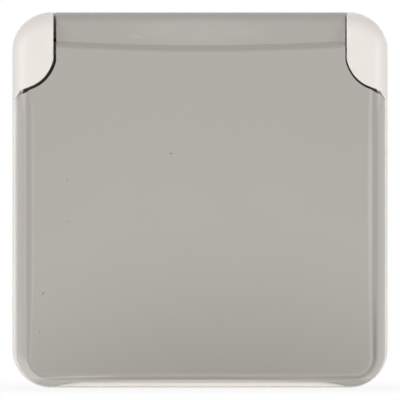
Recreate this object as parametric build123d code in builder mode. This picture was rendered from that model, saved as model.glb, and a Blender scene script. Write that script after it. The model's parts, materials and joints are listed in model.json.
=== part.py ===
"""Outdoor weatherproof socket with a sprung, hinged lid.

Millimetres. X points right, Z points up and the front faces -Y. The wall is the plane Y = 0 and the
origin is the middle of the back face. A depth is a distance in front of the wall.
"""

import os
from math import atan2, degrees, hypot

from build123d import *

os.makedirs("parts", exist_ok=True)

# Housing
width = 80.0
height = 80.0
corner_radius = 8.2
wall = 2.4
box_depth = 30.0
box_seal_thickness = 1.0
box_seal_inset = 0.5
frame_depth = 14.5
rim_height = 6.8
rim_edge_radius = 0.3

# Hinge, ears and pin
ear_width = 8.75
ear_depth = 9.5
ear_rounding = 4.5
ear_edge_radius = 0.2
cheek_radius = 12.5
cheek_rounding = 7.6
cheek_overrun = 0.5
cheek_flare = 3.0
hinge_drop = 5.0
hinge_setback = 5.5
hinge_gap = 0.45
pin_radius = 1.25
pin_seat_clearance = 0.05
pin_running_clearance = 0.15
pin_end_recess = 2.4
trough_clearance = 0.5

# Lid
lid_side_reveal = 0.84
lid_bottom_reveal = 0.3
lid_corner_radius = 7.2
lid_lift = 0.4
lid_play = 0.18
lid_rim_gap = 0.5
band_lift = 0.5
lid_wall = 2.0
lid_edge_radius = 0.3
flange_recess = 1.8
flange_width = 1.8
flange_thickness = 1.8
panel_thickness = 2.2
panel_corner_radius = 4.4
panel_slope_run = 1.8
panel_edge_radius = 0.8
panel_foot_radius = 0.4
panel_flare = 0.8
panel_flare_length = 7.0
crown_drop = 1.0
crown_length = 30.0
scoop_width = 62.0
scoop_depth = 1.0
scoop_run = 7.0
scoop_flange = 0.6
band_height = 6.5
band_recess = 1.3
band_rounding = 3.0
band_wall = 1.6
valley_bow = 1.4
valley_gap = 0.05
valley_foot = 1.4
knuckle_width = 3.4
pocket_count = 3

# Lid seal and its rib on the frame
seal_margin = 0.7
seal_side_margin = 1.5
seal_room = 2.5
seal_width = 2.2
seal_corner_radius = 16.0
seal_gap = 0.3
rib_width = 1.0
rib_height = 4.2

# Plug well
well_radius = 19.5
well_depth = 17.5
well_wall = 1.8
insert_flange_width = 1.5
insert_flange_thickness = 1.4
insert_floor = 2.0
insert_seal_thickness = 0.6
well_mouth_chamfer = 0.6
opening_clearance = 0.4
contact_spacing = 19.0
contact_hole_radius = 2.8
guide_width = 4.0
guide_height = 1.6

# Contacts, earth bracket and terminals
strip_thickness = 0.8
clip_width = 6.0
clip_gap = 4.4
clip_flare = 0.6
clip_bend_radius = 0.9
earth_width = 6.0
earth_clip_reach = 1.3
earth_clip_setback = 6.0
earth_bend_radius = 1.2
slot_clearance = 0.3
part_clearance = 0.2
carrier_depth = 13.5
carrier_rim = 0.5
terminal_size = 6.0
terminal_gap = 1.0
terminal_length = 7.0
earth_terminal_offset = 13.5
tail_setback = 2.1
tail_width = 5.0
tab_setback = 2.5
tab_thickness = 3.0
tab_width = 9.0
post_radius = 3.2

# Screws and holes
screw_clearance = 0.1
cross_share = 0.65
cross_width = 0.9
cross_depth = 1.0
frame_screw_radius = 1.6
frame_screw_head_radius = 3.2
frame_screw_head_height = 2.2
frame_screw_length = 26.0
frame_screw_inset = 11.5
frame_screw_spread = 32.0
boss_radius = 4.2
boss_gap = 0.3
mechanism_screw_radius = 1.5
mechanism_screw_head_radius = 2.8
mechanism_screw_head_height = 2.0
mechanism_screw_length = 12.0
centre_screw_radius = 1.5
centre_screw_head_radius = 2.8
centre_screw_head_height = 1.4
centre_screw_length = 12.0
terminal_screw_radius = 1.25
terminal_screw_head_radius = 2.4
terminal_screw_head_height = 1.6
terminal_screw_length = 6.0
wall_hole_radius = 2.2
wall_hole_spacing_x = 30.0
wall_hole_spacing_z = 60.0

# Cable entry and knock-out
entry_radius = 9.5
entry_depth = 15.0
grommet_lip = 1.8
grommet_lip_thickness = 0.8
grommet_sink = 0.1
grommet_wall = 1.4
grommet_dome = 3.0
knockout_groove_width = 0.8
knockout_groove_depth = 1.2

# Lid spring
spring_wire_radius = 0.35
spring_clearance = 0.3
spring_turns = 9
spring_pitch = 0.9

# How near a point must be to a place to count as on it, for picking edges
near = 0.05

# Places that follow from the sizes above
half_width = width / 2
half_height = height / 2
frame_back = box_depth + box_seal_thickness
frame_front = frame_back + frame_depth
ear_front = frame_front + ear_depth
rim_front = frame_front + rim_height
ear_inner = half_width - ear_width
hinge_z = half_height - hinge_drop
hinge_depth = ear_front - hinge_setback
hinge_axis = Axis((0, -hinge_depth, hinge_z), (1, 0, 0))

lid_half_width = half_width - lid_side_reveal
lid_bottom = -half_height + lid_bottom_reveal
lid_front = ear_front
flange_front = lid_front - flange_recess
lid_back = flange_front - flange_thickness
lip_back = rim_front + lid_lift
panel_cavity_front = lid_front - panel_thickness
band_back = frame_front + band_lift
band_front = lid_front - band_recess
band_bottom = half_height - band_height
band_half_width = ear_inner - hinge_gap
band_reach = band_rounding + hypot(
    band_front - band_rounding - hinge_depth,
    half_height - band_rounding - hinge_z,
)
trough_radius = band_reach + trough_clearance

insert_seat = frame_front + insert_seal_thickness
insert_front = insert_seat + insert_flange_thickness
floor_front = insert_front - well_depth
floor_back = floor_front - insert_floor
well_outer_radius = well_radius + well_wall
insert_flange_radius = well_outer_radius + insert_flange_width
carrier_back = floor_back - carrier_depth
carrier_radius = well_radius + carrier_rim
post_depth = carrier_back + tab_setback

seal_half_width = lid_half_width - lid_wall - seal_side_margin
seal_bottom = lid_bottom + scoop_depth + lid_wall + seal_margin
seal_height = 2 * (insert_flange_radius + seal_room + seal_width)
well_z = seal_bottom + seal_height / 2

frame_screw_points = [
    (side * (half_width - frame_screw_inset), well_z + up * frame_screw_spread / 2)
    for side in (-1, 1)
    for up in (-1, 1)
]
post_points = [(side * (carrier_radius + post_radius + part_clearance), well_z) for side in (-1, 1)]


def at_depth(depth):
    """The plane parallel to the wall at this depth, looked at from the front."""
    return Plane.XZ.offset(depth)


def hinge_cylinder(radius, half_length):
    """A cylinder round the hinge axis, as long to the left as to the right."""
    with BuildPart() as cylinder:
        with BuildSketch(Plane.YZ):
            with Locations((-hinge_depth, hinge_z)):
                Circle(radius)
        extrude(amount=half_length, both=True)
    return cylinder.part


def cheek(growth):
    """The round body of the right ear about the hinge axis, flared at its outer end, grown by this much."""
    start = ear_inner - cheek_overrun - growth
    flare_start = start + growth + cheek_rounding
    flare_end = half_width + cheek_overrun
    run = flare_end - flare_start
    end_radius = cheek_radius + cheek_flare + growth * hypot(run, cheek_flare) / run
    with BuildPart() as body:
        with BuildSketch(Plane((0, -hinge_depth, hinge_z), x_dir=(1, 0, 0), z_dir=(0, -1, 0))):
            with BuildLine():
                side = Line((start, 0), (start, cheek_radius - cheek_rounding))
                rounding = TangentArc(side @ 1, (flare_start, cheek_radius + growth), tangent=(0, 1))
                Polyline(rounding @ 1, (flare_end, end_radius), (flare_end, 0), side @ 0)
            make_face()
        revolve(axis=hinge_axis)
        split(bisect_by=Plane.YZ.offset(ear_inner - growth), keep=Keep.TOP)
    return body.part


def screws(points, seat, head_radius, head_height, shank_radius, length, facing=1):
    """Cross-recessed screws with the underside of the head at this depth, facing front (1) or back (-1)."""
    with BuildPart() as group:
        with BuildSketch(at_depth(seat)):
            with Locations(*points):
                Circle(head_radius)
        extrude(amount=facing * head_height)
        with BuildSketch(at_depth(seat + facing * head_height)):
            with Locations(*points):
                Rectangle(2 * cross_share * head_radius, cross_width)
                Rectangle(cross_width, 2 * cross_share * head_radius)
        extrude(amount=-facing * cross_depth, mode=Mode.SUBTRACT)
        with BuildSketch(at_depth(seat)):
            with Locations(*points):
                Circle(shank_radius)
        extrude(amount=-facing * length)
    return group.part


# Back box, the surface box on the wall
with BuildPart() as back_box:
    with BuildSketch(at_depth(0)):
        RectangleRounded(width, height, corner_radius)
    extrude(amount=box_depth)
    with BuildSketch(at_depth(wall)):
        RectangleRounded(width - 2 * wall, height - 2 * wall, corner_radius - wall)
    extrude(amount=box_depth - wall, mode=Mode.SUBTRACT)
    with BuildSketch(at_depth(wall)):
        with Locations(*frame_screw_points):
            Circle(boss_radius)
    extrude(amount=box_depth - wall)
    with BuildSketch(at_depth(wall)):
        with Locations(*post_points):
            Circle(post_radius)
    extrude(amount=post_depth - wall)
    with BuildSketch(at_depth(box_depth)):
        with Locations(*frame_screw_points):
            Circle(frame_screw_radius + screw_clearance)
    extrude(amount=wall - box_depth, mode=Mode.SUBTRACT)
    with BuildSketch(at_depth(post_depth)):
        with Locations(*post_points):
            Circle(mechanism_screw_radius + screw_clearance)
    extrude(amount=wall - post_depth, mode=Mode.SUBTRACT)
    with BuildSketch(at_depth(0)):
        with GridLocations(wall_hole_spacing_x, wall_hole_spacing_z, 2, 2):
            Circle(wall_hole_radius)
    extrude(amount=wall, mode=Mode.SUBTRACT)
    with BuildSketch(Plane((0, -entry_depth, -half_height))):
        Circle(entry_radius)
    extrude(amount=wall, mode=Mode.SUBTRACT)
    with BuildSketch(Plane((0, -entry_depth, -half_height))):
        Circle(entry_radius + grommet_lip)
    extrude(amount=grommet_sink + grommet_lip_thickness, mode=Mode.SUBTRACT)
    with BuildSketch(Plane((0, -entry_depth, half_height))):
        Circle(entry_radius)
        Circle(entry_radius - knockout_groove_width, mode=Mode.SUBTRACT)
    extrude(amount=-knockout_groove_depth, mode=Mode.SUBTRACT)
back_box.part.label = "back_box"
export_step(back_box.part, "parts/back_box.step")

# Flat gasket between box and frame
with BuildPart() as box_seal:
    with BuildSketch(at_depth(box_depth)):
        RectangleRounded(
            width - 2 * box_seal_inset, height - 2 * box_seal_inset, corner_radius - box_seal_inset
        )
        RectangleRounded(width - 2 * wall, height - 2 * wall, corner_radius - wall, mode=Mode.SUBTRACT)
    extrude(amount=box_seal_thickness)
box_seal.part.label = "box_seal"
export_step(box_seal.part, "parts/box_seal.step")

# One hinge ear, rounded at its outer edges and hollow from behind
ear_span = 2 * (cheek_radius + cheek_flare + hinge_drop)
with BuildPart() as ear:
    with BuildSketch(at_depth(frame_front - wall)):
        RectangleRounded(width, height, corner_radius)
        with Locations((ear_inner, hinge_z)):
            Rectangle(2 * ear_width, ear_span, align=(Align.MIN, Align.CENTER), mode=Mode.INTERSECT)
    extrude(amount=wall + ear_depth)
    front_edges = ear.faces().sort_by(Axis.Y)[0].edges()
    outer_edges = front_edges.filter_by(lambda edge: edge.center().X > ear_inner + near)
    fillet(outer_edges.sort_by(Axis.Z)[1:], ear_rounding)
    add(cheek(0), mode=Mode.INTERSECT)
    rim_edges = ear.edges().filter_by(
        lambda edge: edge.center().Y < -hinge_depth
        and (edge.center().X < ear_inner + near or edge.geom_type == GeomType.BSPLINE)
    )
    fillet(rim_edges, ear_edge_radius)

# The space inside the ear
with BuildPart() as ear_hollow:
    with BuildSketch(at_depth(frame_front - wall)):
        RectangleRounded(width - 2 * wall, height - 2 * wall, corner_radius - wall)
        with Locations((ear_inner + wall, hinge_z)):
            Rectangle(2 * ear_width, ear_span, align=(Align.MIN, Align.CENTER), mode=Mode.INTERSECT)
    extrude(amount=ear_depth)
    add(cheek(-wall), mode=Mode.INTERSECT)

# The shell of the trough that the lid's band turns in
with BuildPart() as trough:
    with BuildSketch(at_depth(frame_back)):
        RectangleRounded(width, height, corner_radius)
    extrude(amount=frame_depth)
    add(hinge_cylinder(trough_radius + wall, ear_inner + wall), mode=Mode.INTERSECT)

# Front frame with its plate, rim, ears, sealing rib and screw sleeves
with BuildPart() as front_frame:
    with BuildSketch(at_depth(frame_back)):
        RectangleRounded(width, height, corner_radius)
    extrude(amount=ear_front - frame_back)
    fillet(front_frame.faces().sort_by(Axis.Y)[0].edges(), ear_rounding)
    split(bisect_by=at_depth(rim_front), keep=Keep.BOTTOM)
    fillet(front_frame.faces().sort_by(Axis.Y)[0].edges(), rim_edge_radius)
    with BuildSketch(at_depth(frame_front)):
        RectangleRounded(width - 2 * wall, height - 2 * wall, corner_radius - wall)
        with Locations((0, half_height)):
            Rectangle(2 * ear_inner, half_height, align=(Align.CENTER, Align.MAX))
    extrude(amount=rim_front - frame_front, mode=Mode.SUBTRACT)
    with BuildSketch(at_depth(frame_back)):
        RectangleRounded(width - 2 * wall, height - 2 * wall, corner_radius - wall)
    extrude(amount=frame_depth - wall, mode=Mode.SUBTRACT)
    add(trough.part)
    add(hinge_cylinder(trough_radius, ear_inner), mode=Mode.SUBTRACT)
    add(ear.part)
    add(mirror(ear.part, about=Plane.YZ, mode=Mode.PRIVATE))
    add(ear_hollow.part, mode=Mode.SUBTRACT)
    add(mirror(ear_hollow.part, about=Plane.YZ, mode=Mode.PRIVATE), mode=Mode.SUBTRACT)
    with BuildSketch(at_depth(frame_front)):
        with Locations((0, well_z)):
            RectangleRounded(
                2 * seal_half_width - seal_width + rib_width,
                seal_height - seal_width + rib_width,
                seal_corner_radius - (seal_width - rib_width) / 2,
            )
            RectangleRounded(
                2 * seal_half_width - seal_width - rib_width,
                seal_height - seal_width - rib_width,
                seal_corner_radius - (seal_width + rib_width) / 2,
                mode=Mode.SUBTRACT,
            )
    extrude(amount=rib_height)
    with BuildSketch(at_depth(frame_front)):
        with Locations((0, well_z)):
            Circle(well_outer_radius + opening_clearance)
    extrude(amount=-wall, mode=Mode.SUBTRACT)
    with BuildSketch(at_depth(box_depth + boss_gap)):
        with Locations(*frame_screw_points):
            Circle(boss_radius)
    extrude(amount=frame_front - box_depth - boss_gap)
    with BuildSketch(at_depth(frame_front)):
        with Locations(*frame_screw_points):
            Circle(frame_screw_radius + screw_clearance)
    extrude(amount=-frame_front + box_depth, mode=Mode.SUBTRACT)
    with BuildSketch(at_depth(frame_front)):
        with Locations(*frame_screw_points):
            Circle(frame_screw_head_radius + part_clearance)
    extrude(amount=-frame_screw_head_height, mode=Mode.SUBTRACT)
    with BuildSketch(Plane.YZ.offset(half_width)):
        with Locations((-hinge_depth, hinge_z)):
            Circle(pin_radius + pin_seat_clearance)
    extrude(amount=-width + pin_end_recess, mode=Mode.SUBTRACT)
front_frame.part.label = "front_frame"
export_step(front_frame.part, "parts/front_frame.step")

# Frame screws
frame_screws = screws(
    frame_screw_points,
    frame_front - frame_screw_head_height,
    frame_screw_head_radius,
    frame_screw_head_height,
    frame_screw_radius,
    frame_screw_length,
)
frame_screws.label = "frame_screws"
export_step(frame_screws, "parts/frame_screws.step")

# Socket insert with the round plug well
earth_slot = earth_width + 2 * slot_clearance
with BuildPart() as socket_insert:
    with BuildSketch(at_depth(floor_back)):
        with Locations((0, well_z)):
            Circle(well_outer_radius)
    extrude(amount=insert_front - floor_back)
    with BuildSketch(at_depth(insert_seat)):
        with Locations((0, well_z)):
            Circle(insert_flange_radius)
    extrude(amount=insert_flange_thickness)
    with BuildSketch(at_depth(floor_front)):
        with Locations((0, well_z)):
            Circle(well_radius)
    extrude(amount=well_depth, mode=Mode.SUBTRACT)
    chamfer(socket_insert.faces().sort_by(Axis.Y)[0].edges(), well_mouth_chamfer)
    with BuildSketch(at_depth(floor_front)):
        with Locations((0, well_z)):
            with GridLocations(2 * well_radius, 0, 2, 1):
                Rectangle(2 * guide_height, guide_width)
            Circle(well_radius + well_wall / 2, mode=Mode.INTERSECT)
    extrude(amount=well_depth - 2 * well_mouth_chamfer)
    with BuildSketch(at_depth(floor_front)):
        with Locations((0, well_z)):
            with GridLocations(contact_spacing, 0, 2, 1):
                Circle(contact_hole_radius)
            Circle(centre_screw_radius + screw_clearance)
    extrude(amount=-insert_floor, mode=Mode.SUBTRACT)
    with BuildSketch(at_depth(floor_front)):
        with Locations((0, well_z)):
            Circle(centre_screw_head_radius + part_clearance)
    extrude(amount=-centre_screw_head_height, mode=Mode.SUBTRACT)
    with BuildSketch(at_depth(floor_back)):
        with Locations((0, well_z)):
            Rectangle(earth_slot, 2 * well_outer_radius)
            Rectangle(earth_slot, 2 * (well_radius - earth_clip_reach), mode=Mode.SUBTRACT)
    extrude(amount=insert_front - earth_clip_setback + 2 * slot_clearance - floor_back, mode=Mode.SUBTRACT)
socket_insert.part.label = "socket_insert"
export_step(socket_insert.part, "parts/socket_insert.step")

# Gasket under the insert's flange
with BuildPart() as insert_seal:
    with BuildSketch(at_depth(frame_front)):
        with Locations((0, well_z)):
            Circle(insert_flange_radius - part_clearance)
            Circle(well_outer_radius + part_clearance, mode=Mode.SUBTRACT)
    extrude(amount=insert_seal_thickness)
insert_seal.part.label = "insert_seal"
export_step(insert_seal.part, "parts/insert_seal.step")

# Centre screw, from the insert's floor into the carrier
centre_screw = screws(
    [(0, well_z)],
    floor_front - centre_screw_head_height,
    centre_screw_head_radius,
    centre_screw_head_height,
    centre_screw_radius,
    centre_screw_length,
)
centre_screw.label = "centre_screw"
export_step(centre_screw, "parts/centre_screw.step")

# Places of the contacts and terminals behind the well's floor
strip_back = floor_back - strip_thickness
tail_depth = carrier_back + tail_setback
terminal_seat = tail_depth - strip_thickness / 2
terminal_front = tail_depth + strip_thickness / 2 + terminal_length
leaf_offset = (clip_gap + strip_thickness) / 2
mouth_offset = leaf_offset + clip_flare
mouth_depth = strip_back - part_clearance
knee_depth = mouth_depth - 2 * clip_flare - strip_thickness
terminal_drop = (clip_width + terminal_size) / 2 + terminal_gap
pole_x = contact_spacing / 2
terminal_points = [
    (-pole_x, well_z - terminal_drop),
    (0, well_z - earth_terminal_offset),
    (pole_x, well_z - terminal_drop),
]


def pole_contact(x):
    """A brass pin clip with two spring leaves, open to the front, and a tail down to its terminal."""
    with BuildPart() as contact:
        with BuildSketch(Plane.XY.offset(well_z)):
            with BuildLine():
                FilletPolyline(
                    (x - mouth_offset, -mouth_depth),
                    (x - leaf_offset, -knee_depth),
                    (x - mouth_offset, -tail_depth),
                    (x + mouth_offset, -tail_depth),
                    (x + leaf_offset, -knee_depth),
                    (x + mouth_offset, -mouth_depth),
                    radius=clip_bend_radius,
                )
            trace(line_width=strip_thickness)
        extrude(amount=clip_width / 2, both=True)
        with BuildSketch(at_depth(terminal_seat)):
            with Locations((x, well_z)):
                Rectangle(tail_width, terminal_drop + terminal_size / 2, align=(Align.CENTER, Align.MAX))
            with Locations((x, well_z - terminal_drop)):
                Circle(terminal_screw_radius + screw_clearance, mode=Mode.SUBTRACT)
        extrude(amount=strip_thickness)
    return contact.part


def terminal(point, back, front):
    """A brass wire clamp block with a threaded hole from behind."""
    with BuildPart() as block:
        with BuildSketch(at_depth(back)):
            with Locations(point):
                RectangleRounded(terminal_size, terminal_size, part_clearance)
                Circle(terminal_screw_radius + screw_clearance, mode=Mode.SUBTRACT)
        extrude(amount=front - back)
    return block.part


# Live and neutral contacts with their terminals, and the earth terminal
neutral_contact = pole_contact(-pole_x)
neutral_contact.label = "neutral_contact"
export_step(neutral_contact, "parts/neutral_contact.step")
live_contact = pole_contact(pole_x)
live_contact.label = "live_contact"
export_step(live_contact, "parts/live_contact.step")
neutral_terminal = terminal(terminal_points[0], terminal_seat + strip_thickness, terminal_front)
neutral_terminal.label = "neutral_terminal"
export_step(neutral_terminal, "parts/neutral_terminal.step")
earth_terminal = terminal(terminal_points[1], terminal_seat, strip_back)
earth_terminal.label = "earth_terminal"
export_step(earth_terminal, "parts/earth_terminal.step")
live_terminal = terminal(terminal_points[2], terminal_seat + strip_thickness, terminal_front)
live_terminal.label = "live_terminal"
export_step(live_terminal, "parts/live_terminal.step")

# Clamp screws of the three terminals
terminal_screws = screws(
    terminal_points,
    terminal_seat,
    terminal_screw_head_radius,
    terminal_screw_head_height,
    terminal_screw_radius,
    terminal_screw_length,
    facing=-1,
)
terminal_screws.label = "terminal_screws"
export_step(terminal_screws, "parts/terminal_screws.step")

# Earth bracket, a strip behind the floor with a spring clip at the top and bottom of the well
arm_offset = well_radius + slot_clearance + strip_thickness / 2
knee_offset = well_radius - earth_clip_reach + strip_thickness / 2
tip_depth = insert_front - earth_clip_setback
strip_depth = floor_back - strip_thickness / 2
knee_reach = (tip_depth - floor_front) / 3
half_strip = [
    (-tip_depth, arm_offset),
    (-tip_depth + knee_reach, knee_offset),
    (-tip_depth + 2 * knee_reach, arm_offset),
    (-strip_depth, arm_offset),
]
strip_path = [(y, well_z + offset) for y, offset in half_strip]
strip_path += [(y, well_z - offset) for y, offset in reversed(half_strip)]
with BuildPart() as earth_bracket:
    with BuildSketch(Plane.YZ):
        with BuildLine():
            FilletPolyline(*strip_path, radius=earth_bend_radius)
        trace(line_width=strip_thickness)
    extrude(amount=earth_width / 2, both=True)
    with BuildSketch(at_depth(floor_back)):
        with Locations((0, well_z)):
            Circle(centre_screw_radius + part_clearance)
    extrude(amount=-strip_thickness, mode=Mode.SUBTRACT)
earth_bracket.part.label = "earth_bracket"
export_step(earth_bracket.part, "parts/earth_bracket.step")

# Contact carrier with pockets for the contacts and terminals
clip_pocket_width = 2 * mouth_offset + strip_thickness + 2 * part_clearance
terminal_pocket = terminal_size + 2 * part_clearance
with BuildPart() as contact_carrier:
    with BuildSketch(at_depth(carrier_back)):
        with Locations((0, well_z)):
            Circle(carrier_radius)
    extrude(amount=carrier_depth)
    with BuildSketch(at_depth(post_depth)):
        with Locations((0, well_z)):
            SlotCenterToCenter(post_points[1][0] - post_points[0][0], tab_width)
    extrude(amount=tab_thickness)
    with BuildSketch(at_depth(floor_back)):
        with Locations((0, well_z)):
            Rectangle(earth_slot, 2 * carrier_radius)
    extrude(amount=-strip_thickness, mode=Mode.SUBTRACT)
    with BuildSketch(at_depth(floor_back)):
        with Locations((0, well_z)):
            Circle(centre_screw_radius + screw_clearance)
            with GridLocations(contact_spacing, 0, 2, 1):
                Rectangle(clip_pocket_width, clip_width + 2 * part_clearance)
        with Locations(*post_points):
            Circle(mechanism_screw_radius + screw_clearance)
        with Locations(terminal_points[1]):
            Rectangle(terminal_pocket, terminal_pocket)
    extrude(amount=-carrier_depth, mode=Mode.SUBTRACT)
    with BuildSketch(at_depth(carrier_back)):
        with Locations((-pole_x, well_z), (pole_x, well_z)):
            Rectangle(
                terminal_pocket,
                terminal_drop + terminal_pocket / 2,
                align=(Align.CENTER, Align.MAX),
            )
    extrude(amount=terminal_front + part_clearance - carrier_back, mode=Mode.SUBTRACT)
contact_carrier.part.label = "contact_carrier"
export_step(contact_carrier.part, "parts/contact_carrier.step")

# Screws that hold the carrier on the box's posts
mechanism_screws = screws(
    post_points,
    post_depth + tab_thickness,
    mechanism_screw_head_radius,
    mechanism_screw_head_height,
    mechanism_screw_radius,
    mechanism_screw_length,
)
mechanism_screws.label = "mechanism_screws"
export_step(mechanism_screws, "parts/mechanism_screws.step")

# Soft membrane grommet in the bottom of the box
lip_radius = entry_radius + grommet_lip - part_clearance
with BuildPart() as cable_grommet:
    with BuildSketch(Plane((0, -entry_depth, -half_height), x_dir=(1, 0, 0), z_dir=(0, -1, 0))):
        with BuildLine():
            Polyline(
                (0, wall + grommet_dome - grommet_wall),
                (entry_radius / 2, wall + grommet_dome - grommet_wall),
                (entry_radius - grommet_wall, grommet_sink),
                (lip_radius, grommet_sink),
                (lip_radius, grommet_sink + grommet_lip_thickness),
                (entry_radius - part_clearance / 2, grommet_sink + grommet_lip_thickness),
                (entry_radius - part_clearance / 2, wall),
                (lip_radius, wall),
                (entry_radius, wall + grommet_wall),
                (entry_radius / 2, wall + grommet_dome),
                (0, wall + grommet_dome),
                close=True,
            )
        make_face()
    revolve(axis=Axis((0, -entry_depth, 0), (0, 0, 1)))
cable_grommet.part.label = "cable_grommet"
export_step(cable_grommet.part, "parts/cable_grommet.step")

# Steel hinge pin, pushed in through the right ear
pin_length = width - 2 * pin_end_recess
hinge_pin = hinge_cylinder(pin_radius, pin_length / 2)
hinge_pin.label = "hinge_pin"
export_step(hinge_pin, "parts/hinge_pin.step")

# Torsion spring on the pin, with one leg on the frame's trough and one on the lid
spring_radius = pin_radius + spring_clearance + spring_wire_radius
spring_length = spring_turns * spring_pitch
rear_leg = (trough_radius**2 - spring_radius**2) ** 0.5 - spring_clearance - spring_wire_radius
front_leg = band_front - band_wall - hinge_depth - spring_clearance
coil_centre = (-spring_length / 2, -hinge_depth, hinge_z)
with BuildPart() as lid_spring:
    with BuildLine():
        coil = Helix(spring_pitch, spring_length, spring_radius, center=coil_centre, direction=(1, 0, 0))
    coil_start = Plane(coil @ 0, z_dir=coil % 0)
    coil_end = Plane(coil @ 1, z_dir=coil % 1)
    with BuildSketch(coil_start):
        Circle(spring_wire_radius)
    sweep(path=coil, is_frenet=True)
    with BuildSketch(coil_start):
        Circle(spring_wire_radius)
    extrude(amount=-rear_leg)
    with BuildSketch(coil_end):
        Circle(spring_wire_radius)
    extrude(amount=front_leg)
lid_spring.part.label = "lid_spring"
export_step(lid_spring.part, "parts/lid_spring.step")

# Raised lid panel on a sloping edge, curved back towards the bottom
panel_half_width = lid_half_width - flange_width
panel_bottom = lid_bottom + scoop_depth + scoop_flange
panel_top = band_bottom - valley_gap
flare_end = hinge_z - cheek_radius + panel_flare
flare_start = flare_end - panel_flare_length
crown_start = panel_bottom + crown_length
with BuildPart() as panel:
    with BuildSketch(at_depth(flange_front)) as outline:
        with BuildLine():
            Line((0, panel_bottom), (panel_half_width, panel_bottom))
            Line((panel_half_width, panel_bottom), (panel_half_width, flare_start))
            flare = TangentArc(
                (panel_half_width, flare_start),
                (panel_half_width + panel_flare / 2, (flare_start + flare_end) / 2),
                tangent=(0, 1),
            )
            flare_back = TangentArc(
                flare @ 1, (panel_half_width + panel_flare, flare_end), tangent=flare % 1
            )
            side = Line(flare_back @ 1, (panel_half_width + panel_flare, panel_top + valley_bow))
            mirror(about=Plane.YZ)
            ThreePointArc((-(side @ 1).X, panel_top + valley_bow), (0, panel_top), side @ 1)
        make_face()
        fillet(outline.vertices().sort_by(Axis.Y)[:2], panel_corner_radius)
        fillet(outline.vertices().sort_by(Axis.Y)[-2:], panel_corner_radius)
    extrude(amount=2 * flange_recess, taper=degrees(atan2(panel_slope_run, flange_recess)))
    with BuildSketch(Plane.YZ):
        with BuildLine():
            bottom_front = (-lid_front + crown_drop, panel_bottom)
            crown = TangentArc((-lid_front, crown_start), bottom_front, tangent=(0, -1))
            Polyline(
                crown @ 1,
                (-lid_back, panel_bottom),
                (-lid_back, half_height),
                (-lid_front, half_height),
                crown @ 0,
            )
        make_face()
    extrude(amount=half_width, both=True, mode=Mode.INTERSECT)
    raised_edges = panel.edges().filter_by(
        lambda edge: max(vertex.Y for vertex in edge.vertices()) < -flange_front - near
        and max(abs(vertex.Z - crown_start) for vertex in edge.vertices()) > near
    )
    fillet(raised_edges, panel_edge_radius)

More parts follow.
